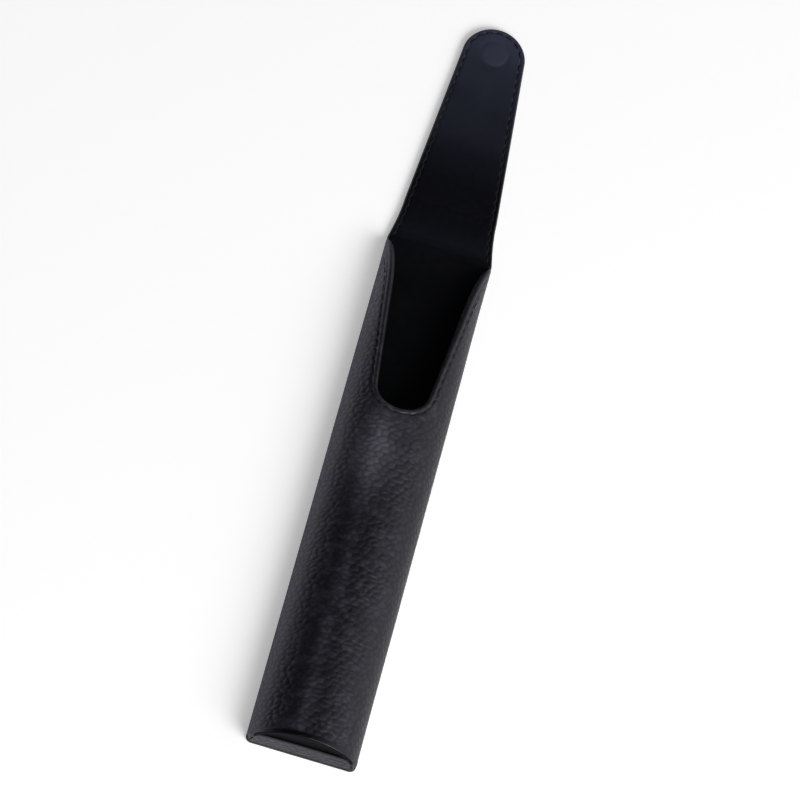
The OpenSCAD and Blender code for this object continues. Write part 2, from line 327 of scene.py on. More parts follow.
class Sheet:
    """A sheet with rounded edges: a fine face, a rim in rings and a coarse back face.

    bands gives for each label the insets at which rows of points follow the edge. radius, thick and
    under are the upper edge's radius, the thickness and the lower edge's radius, as one number or one
    for each corner of the outline. place puts flat points at a depth into space, and relief gives for the
    fine face the extra depth, the dome, which also carries painted shade, and the paleness of worn places and
    painted highlights.
    """

    SIDE_SHARES = (0.5, 1.0)
    CORNER_ANGLES = (30, 60, 90)
    EDGE_RINGS = len(SIDE_SHARES) + len(CORNER_ANGLES)
    # Inset of the last ring, on the back face
    BACK_INSET = 0.35

    def __init__(self, o, labels, bands, grid, radius, thick, under, place, relief,
                 flip=False, cut=None, back_grid=2.0):
        radius, thick, under = (np.broadcast_to(v, len(o)) for v in (radius, thick, under))
        self.place = place
        self.parts = []
        self.count = 0

        # The fine face
        n = inward(o)
        rings = []
        for label, insets in bands.items():
            mine = labels == label
            for d in insets:
                rings.append(np.concatenate([o[mine] + n[mine] * d, np.full((mine.sum(), 1), d)], 1))
        rings = np.concatenate(rings)
        dist, near, inside = to_outline(rings[:, :2], o)
        rings = rings[inside & (dist > rings[:, 2] - 0.012)][:, :2]
        fill = hexes(o, grid)
        dist, near, inside = to_outline(fill, o)
        reach = np.array([bands[labels[i]][-1] for i in near])
        fill = fill[inside & (dist > reach + 0.55 * grid)]
        verts, faces, loop = triangulate(o, np.concatenate([rings, fill]), cut)
        dist, near, inside = to_outline(verts, o)
        dist[loop] = 0.0
        near[loop] = np.arange(len(o))
        r = radius[near]
        round_off = np.where(dist < r, r - np.sqrt(np.maximum(0, r ** 2 - (r - dist) ** 2)), 0.0)
        extra, dome, wear_and_highlight = relief(verts, dist, labels[near])
        self.add(verts, round_off + extra, dome, wear_and_highlight)
        self.faces = [list(f) for f in faces]
        self.top_count = len(faces)

        # The rim: down the side, round the lower corner and in under the sheet
        steps = []
        side = thick - radius - under
        for k in self.SIDE_SHARES:
            steps.append((np.zeros(len(o)), radius + side * k, extra[loop] * (1 - k)))
        for a in self.CORNER_ANGLES:
            a = math.radians(a)
            steps.append((under * (1 - math.cos(a)), thick - under + under * math.sin(a), 0.0))
        steps.append((under + self.BACK_INSET, thick, 0.0))
        before = loop
        for inset, depth, more in steps:
            ring = o + n * inset[:, None]
            if cut is not None:
                ring[np.abs(o[:, 1] - cut) < 1e-6, 1] = cut
            ids = self.add(ring, depth + more, dome[loop], wear_and_highlight[loop])
            for i in range(len(o)):
                j = (i + 1) % len(o)
                self.faces.append([before[j], before[i], ids[i], ids[j]])
            before = ids

        # The coarse back face
        fill = hexes(ring, back_grid)
        dist, near, inside = to_outline(fill, ring)
        verts, faces, loop = triangulate(ring, fill[inside & (dist > 0.6 * back_grid)], cut)
        index = {v: before[i] for i, v in enumerate(loop)}
        new = [i for i in range(len(verts)) if i not in index]
        if new:
            q = verts[new]
            near = to_outline(q, ring)[1]
            index.update(zip(new, self.add(q, thick[near], np.ones(len(q)), np.zeros(len(q)))))
        for f in faces:
            self.faces.append([index[i] for i in reversed(f)])

        self.flat, self.xyz, self.dome, self.wear_and_highlight = (np.concatenate(v) for v in zip(*self.parts))
        if flip:
            self.faces = [f[::-1] for f in self.faces]

    def add(self, flat, depth, dome, wear_and_highlight):
        """Adds points and gives their indices."""
        self.parts.append((flat, self.place(flat, depth), dome, wear_and_highlight))
        self.count += len(flat)
        return range(self.count - len(flat), self.count)


def add_object(name, data):
    o = bpy.data.objects.new(name, data)
    bpy.context.scene.collection.objects.link(o)
    return o


def new_mesh(name, xyz, faces, fields, material, normals=None):
    me = bpy.data.meshes.new(name)
    q = np.array(xyz, float)
    q[:, 1] -= ROW_Y
    me.from_pydata((q * MM).tolist(), [], faces)
    for key, values in fields.items():
        values = np.asarray(values, np.float32)
        kind, part = ("FLOAT_VECTOR", "vector") if values.ndim == 2 else ("FLOAT", "value")
        me.attributes.new(key, kind, "POINT").data.foreach_set(part, values.ravel())
    me.polygons.foreach_set("use_smooth", [True] * len(me.polygons))
    me.update()
    if normals is not None:
        me.normals_split_custom_set_from_vertices(normals.tolist())
    me.materials.append(material)
    return add_object(name, me)


def fields_of(sheet, keep=slice(None)):
    """What the materials read: the flat place in mm, the dome, which also carries painted shade, and the
    paleness of worn places and painted highlights.
    """
    grain = np.concatenate([sheet.flat, np.zeros((len(sheet.flat), 1))], 1)
    return {"grain": grain[keep], "dome": sheet.dome[keep], "wear_and_highlight": sheet.wear_and_highlight[keep]}


def sheet_object(name, sheet, material):
    return new_mesh(name, sheet.xyz, sheet.faces, fields_of(sheet), material)


def split_objects(names, sheet, material, cut):
    """Two objects that meet on the line y = cut, with the whole sheet's normals on both."""
    whole = new_mesh("whole", sheet.xyz, sheet.faces, {}, material)
    normals = np.zeros(len(sheet.xyz) * 3, np.float32)
    whole.data.vertices.foreach_get("normal", normals)
    normals = normals.reshape(-1, 3)
    bpy.data.objects.remove(whole)
    made = []
    ys = sheet.flat[:, 1].tolist()
    for name, below in zip(names, (True, False)):
        faces = [f for f in sheet.faces if (min(ys[i] for i in f) < cut - 1e-6) == below]
        used = sorted({i for f in faces for i in f})
        again = {old: new for new, old in enumerate(used)}
        faces = [[again[i] for i in f] for f in faces]
        fields = fields_of(sheet, used)
        made.append(new_mesh(name, sheet.xyz[used], faces, fields, material, normals[used]))
    return made


# ---- materials

def node(tree, kind, inputs=None, **settings):
    n = tree.nodes.new(kind)
    for key, value in settings.items():
        setattr(n, key, value)
    for key, value in (inputs or {}).items():
        if isinstance(value, bpy.types.NodeSocket):
            tree.links.new(value, n.inputs[key])
        else:
            n.inputs[key].default_value = value
    return n


def attribute(tree, name, output="Fac"):
    n = node(tree, "ShaderNodeAttribute", attribute_name=name, attribute_type="GEOMETRY")
    return n.outputs[output]


def times(tree, a, b):
    return node(tree, "ShaderNodeMath", {0: a, 1: b}, operation="MULTIPLY").outputs[0]


def plus(tree, total, *others):
    for other in others:
        total = node(tree, "ShaderNodeMath", {0: total, 1: other}, operation="ADD").outputs[0]
    return total


def ramp(tree, value, lo, hi, a, b):
    limits = {"Value": value, "From Min": lo, "From Max": hi, "To Min": a, "To Max": b}
    return node(tree, "ShaderNodeMapRange", limits).outputs["Result"]


def mix(tree, factor, a, b):
    a, b = (v if isinstance(v, bpy.types.NodeSocket) else (*v, 1.0) for v in (a, b))
    return node(tree, "ShaderNodeMix", {0: factor, 6: a, 7: b}, data_type="RGBA").outputs[2]


def cloud(tree, vector, scale, detail, roughness=0.6):
    settings = {"Vector": vector, "Scale": scale, "Detail": detail, "Roughness": roughness}
    return node(tree, "ShaderNodeTexNoise", settings).outputs["Fac"]


def pore_lines(tree, vector, scale, width):
    """0 on the fine lines between pores, 1 away from them."""
    settings = {"Vector": vector, "Scale": scale, "Randomness": 1.0}
    n = node(tree, "ShaderNodeTexVoronoi", settings, feature="DISTANCE_TO_EDGE")
    return ramp(tree, n.outputs["Distance"], 0.0, width, 0.0, 1.0)


def material(name):
    m = bpy.data.materials.new(name)
    m.use_nodes = True
    t = m.node_tree
    return m, t, t.nodes["Principled BSDF"]


def dress(tree, shader, tone, rough, height, strength, distance, specular=0.5, tint=(1.0, 1.0, 1.0)):
    """Wires the shader up. The bump's distance is in metres."""
    tree.links.new(tone, shader.inputs["Base Color"])
    tree.links.new(rough, shader.inputs["Roughness"])
    relief = node(tree, "ShaderNodeBump", {"Height": height, "Strength": strength, "Distance": distance})
    tree.links.new(relief.outputs["Normal"], shader.inputs["Normal"])
    shader.inputs["Specular IOR Level"].default_value = specular
    shader.inputs["Specular Tint"].default_value = (*tint, 1.0)


def leather_material():
    """Black pebbled leather, paler where it is worn and where highlights are painted on. A dome from 0 down
    to -1 is painted shade along the closed end's edge.
    """
    m, t, p = material("pebbled_leather")
    grain, dome, wear_and_highlight = attribute(t, "grain", "Vector"), attribute(t, "dome"), attribute(t, "wear_and_highlight")
    broad = cloud(t, grain, 0.11, 4.0)
    mid = cloud(t, grain, 0.9, 3.0)
    fine = cloud(t, grain, 7.0, 3.0, 0.65)
    # Darker where the dome is low, in the pebbles' creases and by the calmed edges, and lighter on pebble
    # tops: painted shade and highlight
    tone = mix(t, ramp(t, dome, 0.1, 1.0, 0.0, 1.0), (0.0024, 0.0023, 0.0034), (0.0062, 0.0059, 0.0088))
    tone = mix(t, ramp(t, broad, 0.35, 0.68, 0.0, 0.55), tone, (0.0052, 0.0051, 0.0082))
    tone = mix(t, ramp(t, mid, 0.4, 0.75, 0.0, 0.35), tone, (0.0098, 0.0092, 0.0135))
    # Paler where edges and folds are worn, and with painted highlights on the front
    tone = mix(t, wear_and_highlight, tone, (0.098, 0.095, 0.118))
    # Painted black shade along the closed end's edge, where the dome is below 0
    tone = mix(t, ramp(t, dome, -1.0, 0.0, 1.0, 0.0), tone, (0.0012, 0.0012, 0.0016))
    rough = plus(t, ramp(t, dome, 0.0, 1.0, 0.5, 0.35), ramp(t, mid, 0.3, 0.7, -0.04, 0.05),
                 ramp(t, dome, -1.0, 0.0, -0.2, 0.0), ramp(t, fine, 0.3, 0.7, -0.04, 0.04))
    lines = pore_lines(t, grain, 3.1, 0.16)
    height = plus(t, times(t, lines, 0.55), times(t, fine, 0.6), times(t, mid, 0.5))
    dress(t, p, tone, rough, height, 0.5, 0.00006, 0.5, (0.92, 0.9, 1.0))
    return m


def lining_material():
    """Smooth leather, navy where it is worn and where light is painted on, and deep black where its dome is
    0: painted shade inside the pocket.
    """
    m, t, p = material("smooth_lining_leather")
    grain, out_of_pocket_shade, wear_and_highlight = attribute(t, "grain", "Vector"), attribute(t, "dome"), attribute(t, "wear_and_highlight")
    broad = cloud(t, grain, 0.13, 5.0)
    mid = cloud(t, grain, 0.55, 4.0)
    fine = cloud(t, grain, 9.0, 4.0, 0.7)
    tone = mix(t, ramp(t, broad, 0.35, 0.7, 0.0, 1.0), (0.0018, 0.0018, 0.003), (0.003, 0.003, 0.005))
    tone = mix(t, ramp(t, mid, 0.45, 0.8, 0.0, 0.4), tone, (0.0046, 0.0047, 0.0072))
    # Painted deep black shade inside the pocket, where the dome is 0
    tone = mix(t, out_of_pocket_shade, (0.0008, 0.0008, 0.0012), tone)
    # Navy where edges are worn, and painted light that pales the flap towards its tip and on the press mark
    tone = mix(t, wear_and_highlight, tone, (0.038, 0.043, 0.07))
    rough = plus(t, ramp(t, broad, 0.3, 0.7, 0.4, 0.34), ramp(t, fine, 0.3, 0.7, -0.05, 0.05),
                 ramp(t, mid, 0.3, 0.7, -0.03, 0.05))
    height = plus(t, times(t, pore_lines(t, grain, 4.2, 0.12), 0.3), fine, times(t, mid, 0.8))
    dress(t, p, tone, rough, height, 0.35, 0.00004, 0.35, (0.9, 0.93, 1.0))
    return m


def thread_material():
    m, t, p = material("waxed_thread")
    fibre = cloud(t, attribute(t, "grain", "Vector"), 14.0, 3.0)
    # Darker in the grooves between the plies: painted shade
    tone = mix(t, attribute(t, "dome"), (0.002, 0.002, 0.0025), (0.007, 0.007, 0.008))
    tone = mix(t, ramp(t, fibre, 0.4, 0.75, 0.0, 0.5), tone, (0.012, 0.012, 0.0135))
    dress(t, p, tone, ramp(t, fibre, 0.3, 0.7, 0.55, 0.7), fibre, 0.4, 0.00003, 0.3)
    return m


def board_material():
    m, t, p = material("bonded_board")
    fibre = cloud(t, node(t, "ShaderNodeTexCoord").outputs["Object"], 900.0, 5.0, 0.7)
    tone = mix(t, ramp(t, fibre, 0.3, 0.7, 0.0, 1.0), (0.16, 0.1, 0.055), (0.3, 0.21, 0.13))
    dress(t, p, tone, ramp(t, fibre, 0.3, 0.7, 0.95, 0.8), fibre, 0.4, 0.00005)
    return m


def matt_material():
    """The same leather's matt side, for the sunk end panel and the front's cut edge there."""
    m, t, p = material("matt_leather")
    grain = attribute(t, "grain", "Vector")
    nap = cloud(t, grain, 5.0, 5.0, 0.7)
    broad = cloud(t, grain, 0.35, 3.0, 0.5)
    # Darker where the dome is low: painted shade in the grain's creases and along the front's closed end
    tone = mix(t, attribute(t, "dome"), (0.0022, 0.0022, 0.0027), (0.0045, 0.0044, 0.0054))
    tone = mix(t, ramp(t, nap, 0.35, 0.75, 0.0, 0.5), tone, (0.0095, 0.0092, 0.011))
    tone = mix(t, ramp(t, broad, 0.4, 0.7, 0.0, 0.3), tone, (0.0075, 0.0073, 0.009))
    dress(t, p, tone, ramp(t, nap, 0.3, 0.7, 0.8, 0.95), nap, 0.5, 0.00005, 0.12)
    return m


LEATHER_M = leather_material()
MATT_M = matt_material()
LINING_M = lining_material()
THREAD_M = thread_material()
BOARD_M = board_material()


# ---- where the stitches lie

def stitch_row(first, last):
    n = int(math.floor((last - first - STITCH_L) / STITCH_PITCH + 1e-6)) + 1
    return [(first + i * STITCH_PITCH, first + i * STITCH_PITCH + STITCH_L) for i in range(n)]


def round_stitches(r, centre_y, middle, half, numbers):
    """Stitches round an arc of radius r, numbered from the one at the angle middle."""
    pitch = STITCH_PITCH / r
    angles = [middle + i * pitch for i in numbers]
    return [[(r * math.cos(a + s * half), centre_y + r * math.sin(a + s * half)) for s in (-1, 1)]
            for a in angles]


def notch_stitches():
    """Both ends of each stitch round the notch, in plan."""
    r = NOTCH_R + STITCH_D
    count = int((math.pi / 2 + NOTCH_TOUCH) / (STITCH_PITCH / r))
    ends = round_stitches(r, NOTCH_Y, -math.pi / 2, STITCH_L / r / 2, range(-count, count + 1))
    for ys in stitch_row(NOTCH_Y + STITCH_PITCH - STITCH_L, BODY_L - SEAM_MOUTH_GAP):
        for side in (-1, 1):
            ends.append([(side * float(notch_x(y, STITCH_D)), y) for y in ys])
    return np.array(ends)


def flap_stitches():
    """Both ends of each stitch of the flap in plan, and how many of them the spine has."""
    ends = []
    run = FOLD_2 - FOLD_1 - 2 * SPINE_GAP - STITCH_L
    pitch = run / math.floor(run / STITCH_PITCH)
    for i in range(4):
        for side in (-1, 1):
            start = FOLD_1 + SPINE_GAP + i * pitch
            ends.append([(side * float(spine_x(y) - STITCH_D), y) for y in (start, start + STITCH_L)])
    spine_count = len(ends)
    r = TIP_R - STITCH_D
    half = STITCH_L / r / 2
    count = int((math.pi / 2 - TONGUE_TOUCH - half) / (STITCH_PITCH / r))
    ends += round_stitches(r, TIP_Y, math.pi / 2, half, range(-count, count + 1))
    side_end = TIP_Y - FOLD_2 + r * math.sin(TONGUE_TOUCH)
    x0 = r / math.cos(TONGUE_TOUCH) + (TIP_Y - FOLD_2) * math.tan(TONGUE_TOUCH)
    for i in range(int((side_end - 0.1) / STITCH_PITCH)):
        y0 = side_end - (i + 1) * STITCH_PITCH
        for side in (-1, 1):
            ends.append([(side * (x0 - y * math.tan(TONGUE_TOUCH)), FOLD_2 + y)
                         for y in (y0, y0 + STITCH_L)])
    return np.array(ends), spine_count


# The names that end in _S are on the unrolled front
NOTCH_STITCHES = notch_stitches()
NOTCH_STITCHES_S = np.stack([arch_s_at_x(NOTCH_STITCHES[:, :, 0]), NOTCH_STITCHES[:, :, 1]], 2)
SIDE_ROW = stitch_row(SEAM_START, BODY_L - SEAM_MOUTH_GAP)
SIDE_STITCHES_S = np.array([[(side * (ARCH_HALF - SEAM_RISE), y) for y in ys]
                            for side in (-1, 1) for ys in SIDE_ROW])
FLAP_STITCHES, SPINE_COUNT = flap_stitches()


def holes(p, ends, deep=0.2, wide=0.27):
    """Small pits where the thread goes into the leather."""
    pits = ends.reshape(-1, 2)
    out = np.zeros(len(p))
    for k in range(0, len(p), 8000):
        c = p[k:k + 8000]
        d2 = ((c[:, None, :] - pits[None]) ** 2).sum(2)
        out[k:k + 8000] = deep * np.exp(-d2.min(1) / wide ** 2)
    return out


# ---- the moulded front

# Radii of the turned edge round the notch, of the base edge and of the cut closed end
NOTCH_EDGE_R, BASE_EDGE_R, END_EDGE_R = 0.68, 0.28, 0.3
# Where the turned edge runs out at the sleeve's foot
FOOT_Y = BODY_L - 1.45


def end_y(x):
    """Where the closed end's rounded corners lie in plan."""
    over = np.clip(np.abs(x) - (HALF_W - CORNER_R), 0, CORNER_R)
    return CORNER_R - np.sqrt(CORNER_R ** 2 - over ** 2)


def front_place(p, depth):
    """The arch, with the leather's edge at the closed end's corners square to the plan."""
    q = arch(p, depth)
    outer = end_y(arch(p, np.zeros(len(p)))[:, 0])
    inner = end_y(arch(p, np.clip((depth - 0.3) * 1.5, 0, 0.9))[:, 0])
    q[:, 1] += smooth(4.0, 1.5, p[:, 1] - outer) * (inner - outer)
    return q


def notch_edge(grow, widest):
    """The notch's right side and round end on the unrolled front, from the mouth down."""
    r = NOTCH_R + grow
    y = np.linspace(BODY_L, NOTCH_Y + r * math.sin(NOTCH_TOUCH), 9000)
    x = notch_x(y, grow)
    x, y = x[x <= widest], y[x <= widest]
    a = np.linspace(NOTCH_TOUCH, -math.pi / 2, 600)[1:]
    x = np.concatenate([x, r * np.cos(a)])
    y = np.concatenate([y, NOTCH_Y + r * np.sin(a)])
    return np.stack([arch_s_at_x(x), y], 1)


def front_outline(step):
    t = np.linspace(math.pi, 0, 3000)
    end = np.stack([arch_s(t), end_y(HALF_W * np.cos(t))], 1)
    notch = notch_edge(0.0, HALF_W)
    notch[0, 0] = ARCH_HALF
    base = np.array([end[-1], notch[0]])
    return outline([(end, "end")] + both_sides([(base, "base"), (notch, "notch")]), step)


def by_part(label, notch, base, end):
    return np.where(label == "notch", notch, np.where(label == "base", base, end))


def arc_steps(r, more):
    """Insets that follow a rounded edge of radius r, and more beyond it."""
    return [r * (1 - math.cos(math.radians(a))) for a in (22, 42, 60, 76, 90)] + more


def soften(values):
    for _ in range(3):
        values = (np.roll(values, 1) + values + np.roll(values, -1)) / 3
    return values


def front_relief(p, d, label):
    s, y = p[:, 0], p[:, 1]
    grain, dome = pebbles(p)
    notch, base, end = label == "notch", label == "base", label == "end"
    calm = by_part(label, smooth(0.35, 1.1, d), smooth(0.1, 0.6, d), smooth(1.0, 2.2, d))
    # The stitches lie in a groove
    run = smooth(2.6, 3.4, y) * smooth(149.2, 148.0, y)
    groove = np.where(notch, bump(d, STITCH_D, 0.3) * smooth(149.4, 148.4, y), 0.0)
    groove += np.where(base, bump(d, SEAM_RISE, 0.26) * run, 0.0)
    # Moulding has stretched the grain flatter down the sides and a little along the crown
    flat = (1 - 0.6 * smooth(10.0, 15.0, np.abs(s))) * (1 - 0.24 * bump(s, 2.5, 5.0))
    share = np.where(end, 0.12, 0.3) + np.where(end, 0.88, 0.7) * calm
    depth = share * (1 - 0.55 * groove) * flat * grain - 0.04
    depth += 0.17 * groove
    depth += holes(p, NOTCH_STITCHES_S) + holes(p, SIDE_STITCHES_S)
    # The turned-in edge makes the leather stand a little higher along the notch
    depth -= np.where(notch, 0.045 * smooth(3.5, 2.2, d) * smooth(0.2, 1.0, d), 0.0)
    depth += 0.09 * noise(p, 17.0, 31) + 0.04 * noise(p, 6.5, 32)
    # A shallow dish below the notch, where fingers press
    depth += 0.1 * bump(y, 84.0, 9.0) * bump(s, 1.0, 7.0)
    # The front dips a little at its closed end
    depth += 0.12 * np.clip(1 - y / 4.5, 0, 1) ** 2.2 * smooth(20.0, 12.0, np.abs(s))
    # Wear on the notch's edge. Painted highlights: glints in specks on pebble tops and along the crown, a
    # pale patch below the notch, and paler sides near the mouth, more on the left
    wear_and_highlight = np.where(notch, 0.1 * bump(d, 0.25, 0.55), 0.0)
    wear_and_highlight = wear_and_highlight * (0.55 + 0.45 * noise(p, 2.3, 33)) * (0.3 + 0.7 * dome)
    painted_glints = 0.3 * bump(s, -2.7, 2.0) * (1 + 0.6 * noise(p, 6.0, 37))
    glint_specks = smooth(0.05, 0.7, noise(p * (1.0, 1.8), 2.5, 36))
    painted_glints += 0.2 * glint_specks * smooth(14.0, 9.0, np.abs(s))
    painted_highlight_patches = 1.15 * bump(y, 86.0, 11.5) * bump(s, -3.4, 5.8)
    painted_highlight_patches += (0.3 + 0.3 * smooth(5, -5, s)) * bump(y, 140.0, 15.0) * bump(np.abs(s), 17.5, 3.2)
    wear_and_highlight = wear_and_highlight + painted_glints * (0.8 + 0.3 * noise(p, 3.0, 34)) * (0.45 + 0.5 * dome)
    wear_and_highlight = wear_and_highlight + painted_highlight_patches * (0.85 + 0.25 * noise(p, 3.0, 34)) * (0.6 + 0.4 * dome)
    # Painted black shade round the closed end's edge; a dome below 0 stands for it
    end_shade = np.where(end, smooth(1.8, 1.2, d + 0.12 * noise(p, 2.0, 35)), 0.0)
    end_shade = end_shade * smooth(18.5, 15.0, np.abs(s))
    dome = dome * (0.35 + 0.65 * calm)
    return depth, dome * (1 - end_shade) - end_shade, np.clip(wear_and_highlight, 0, 1.2) * (1 - end_shade)


o, labels = front_outline(STEP)
foot = smooth(3.0, 0.6, FOOT_Y - o[:, 1])
low = smooth(17.0, 20.5, np.abs(o[:, 0]))
notch_r = NOTCH_EDGE_R - 0.4 * foot
radius = soften(by_part(labels, notch_r, BASE_EDGE_R, END_EDGE_R - 0.02 * low))
thick = soften(by_part(labels, 1.4 - 0.5 * foot, LEATHER, LEATHER))
under = soften(by_part(labels, notch_r, 0.12, 0.14))
bands = {
    "notch": arc_steps(NOTCH_EDGE_R, [0.95, 1.13, 1.25, 1.35, 1.45, 1.55, 1.65, 1.78, 1.98, 2.3, 2.65,
                                      3.0, 3.4]),
    "base": arc_steps(BASE_EDGE_R, [0.42, 0.54, 0.64, 0.72, 0.8, 0.88, 0.96, 1.06, 1.2, 1.45]),
    "end": arc_steps(END_EDGE_R, [0.42, 0.56, 0.75, 0.95, 1.2, 1.45, 1.7]),
}
front = Sheet(o, labels, bands, 0.33, radius, thick, under, front_place, front_relief)
front_leather = sheet_object("front_shell", front, LEATHER_M)

# The cut edge at the closed end is matt: the rim's rings, and the faces of the lip above them
front_leather.data.materials.append(MATT_M)
top, rim = front.top_count, front.EDGE_RINGS
crown_end = (labels == "end") & (np.abs(o[:, 0]) < 17.5)
lip = (front.flat[:, 1] < 0.22) & (np.abs(front.flat[:, 0]) < 16.5)
matt = np.zeros(len(front.faces), np.int32)
matt[top:top + rim * len(o)] = np.tile(crown_end, rim)
matt[:top] = [all(lip[i] for i in f) for f in front.faces[:top]]
front_leather.data.polygons.foreach_set("material_index", matt)

# ---- the front's lining


def front_lining_outline(step):
    end_at, edge = 2.2, ARCH_HALF - 0.35
    notch = notch_edge(LINING_INSET, HALF_W - ROOM)
    notch = notch[notch[:, 0] <= edge]
    notch[0, 0] = edge
    base = np.array([(edge, end_at), notch[0]])
    end = np.array([(-edge, end_at), (edge, end_at)])
    return outline([(end, "end")] + both_sides([(base, "base"), (notch, "notch")]), step)


def inner_arch(p, g):
    return arch(p, FRONT_WALL - g)


def lining_relief(p, d, label):
    depth = 0.03 * noise(p, 9.0, 41) + 0.015 * noise(p, 2.4, 42)
    at_notch = label == "notch"
    # Near the notch the lining is kept out of the pocket's painted deep black shade
    dome = np.where(at_notch, 0.6 * bump(d, 0.0, 1.5), 0.0)
    return depth, dome, np.where(at_notch, 0.12 * bump(d, 0.0, 0.8), 0.0)


o, labels = front_lining_outline(0.5)
bands = {"notch": arc_steps(0.2, [0.5, 1.0]), "base": [0.5], "end": [0.5]}
front_lin = Sheet(o, labels, bands, 1.1, 0.2, 0.48, 0.05, inner_arch, lining_relief, flip=True, back_grid=3.0)
front_lining = sheet_object("front_lining_inner", front_lin, LINING_M)

# ---- back and flap


def flap_side(inset):
    """Right edge of the flap from the mouth fold round to the middle of its tip."""
    y = np.linspace(FOLD_1, FOLD_2, 400)
    spine = np.stack([spine_x(y) - inset, y], 1)
    r = TIP_R - inset
    a = np.linspace(TONGUE_TOUCH, math.pi / 2, 500)
    tip = np.stack([r * np.cos(a), TIP_Y + r * np.sin(a)], 1)
    return spine, np.concatenate([spine[-1:], tip])


def body_edge():
    a = np.linspace(-math.pi / 2, 0, 60)
    corner = np.stack([HALF_W - CORNER_R + CORNER_R * np.cos(a), CORNER_R + CORNER_R * np.sin(a)], 1)
    return np.concatenate([[(0.0, 0.0)], corner, [(HALF_W, FOLD_1)]])


def cut_at(line, y):
    """The line in two, with the point at height y in both."""
    k = int(np.argmax(line[:, 1] > y))
    u = (y - line[k - 1, 1]) / (line[k, 1] - line[k - 1, 1])
    point = line[k - 1] + (line[k] - line[k - 1]) * u
    return np.concatenate([line[:k], [point]]), np.concatenate([[point], line[k:]])


def long_outline(body, inset, step):
    """Outline of a sheet that has the body's edge and runs on to the flap's tip."""
    spine, tongue = flap_side(inset)
    low, high = cut_at(spine, SPLIT_Y)
    return outline(both_sides([(body, "body"), (low, "flap"), (high, "flap"), (tongue, "flap")]), step)


def creases(p):
    """Cross wrinkles at the two folds."""
    y = p[:, 1]
    wave = 0.35 * noise(p, 6.0, 51)
    deep = 0.1 * bump(y + wave, FOLD_1 + 0.5, 0.45) + 0.05 * bump(y - wave, FOLD_1 + 2.3, 0.4)
    deep += 0.03 * bump(y + wave, FOLD_1 - 1.4, 0.4)
    deep += 0.06 * bump(y + wave, FOLD_2 + 0.4, 0.5) + 0.03 * bump(y - wave, FOLD_2 + 2.2, 0.45)
    return deep


def back_relief(p, d, label):
    y = p[:, 1]
    grain, dome = pebbles(p + (60.0, 0.0))
    flap = label == "flap"
    calm = np.where(flap, smooth(0.3, 1.0, d), smooth(0.15, 0.8, d))
    groove = np.where(flap & (y > FOLD_1 + 0.5), bump(d, STITCH_D, 0.3), 0.0)
    depth = (0.3 + 0.7 * calm) * (1 - 0.5 * groove) * grain + 0.17 * groove
    depth += holes(p, FLAP_STITCHES)
    # The back is pressed flatter where it is carried and laid down
    depth *= 0.85
    # Wear on the edges and on the outside of the two folds
    edge = np.where(flap, bump(d, 0.25, 0.5), 0.8 * bump(d, 0.2, 0.4))
    wear_and_highlight = 0.14 * edge * (0.55 + 0.45 * noise(p, 2.3, 52))
    folds = bump(y, FOLD_1 + 1.0, 1.6) + 0.7 * bump(y, FOLD_2 + 1.0, 1.4)
    wear_and_highlight += 0.06 * folds * (0.5 + 0.5 * noise(p, 1.6, 53))
    return depth, dome * (0.4 + 0.6 * calm), np.clip(wear_and_highlight, 0, 1) * (0.35 + 0.65 * dome)


def from_below(p, depth):
    return np.stack([p[:, 0], p[:, 1], depth], 1)


o, labels = long_outline(body_edge(), 0.0, STEP)
hem = smooth(151.5, 154.6, o[:, 1])
bands = {
    "body": arc_steps(0.2, [0.5, 0.9]),
    "flap": arc_steps(0.56, [0.85, 1.1, 1.24, 1.35, 1.45, 1.55, 1.66, 1.8, 2.1]),
}
back = Sheet(o, labels, bands, 0.4, 0.2 + 0.36 * hem,
             LEATHER + (HEM_T - LEATHER) * hem, 0.12 + 0.44 * hem, from_below, back_relief,
             flip=True, cut=SPLIT_Y)
back_leather, tongue_leather = split_objects(
    ("back_and_spine_leather", "flap_leather"), back, LEATHER_M, SPLIT_Y)

# ---- floor and flap lining

# Paler towards the tip, partly worn and partly painted light where the tip catches more light and the root
# lies in shade; painted deep black shade inside the pocket
LINING_PALE_Y = [176, 186, 192, 198, 204, 210, 213, 216, 219, 222, 228]
LINING_WEAR_AND_LIGHT = [0.0, 0.11, 0.28, 0.37, 0.41, 0.54, 0.6, 0.68, 0.82, 1.03, 1.08]
LINING_EDGE_R = 0.24


def lining_edge():
    """Right edge of the pocket's floor, from the middle of its closed end to the mouth."""
    y = np.linspace(2.1, FOLD_1, 3000)
    half = np.maximum(HALF_W - FRONT_WALL, notch_x(y) - 0.2)
    half = np.minimum(half, HALF_W - LINING_INSET)
    return np.concatenate([[(0.0, 2.1)], np.stack([half, y], 1)])


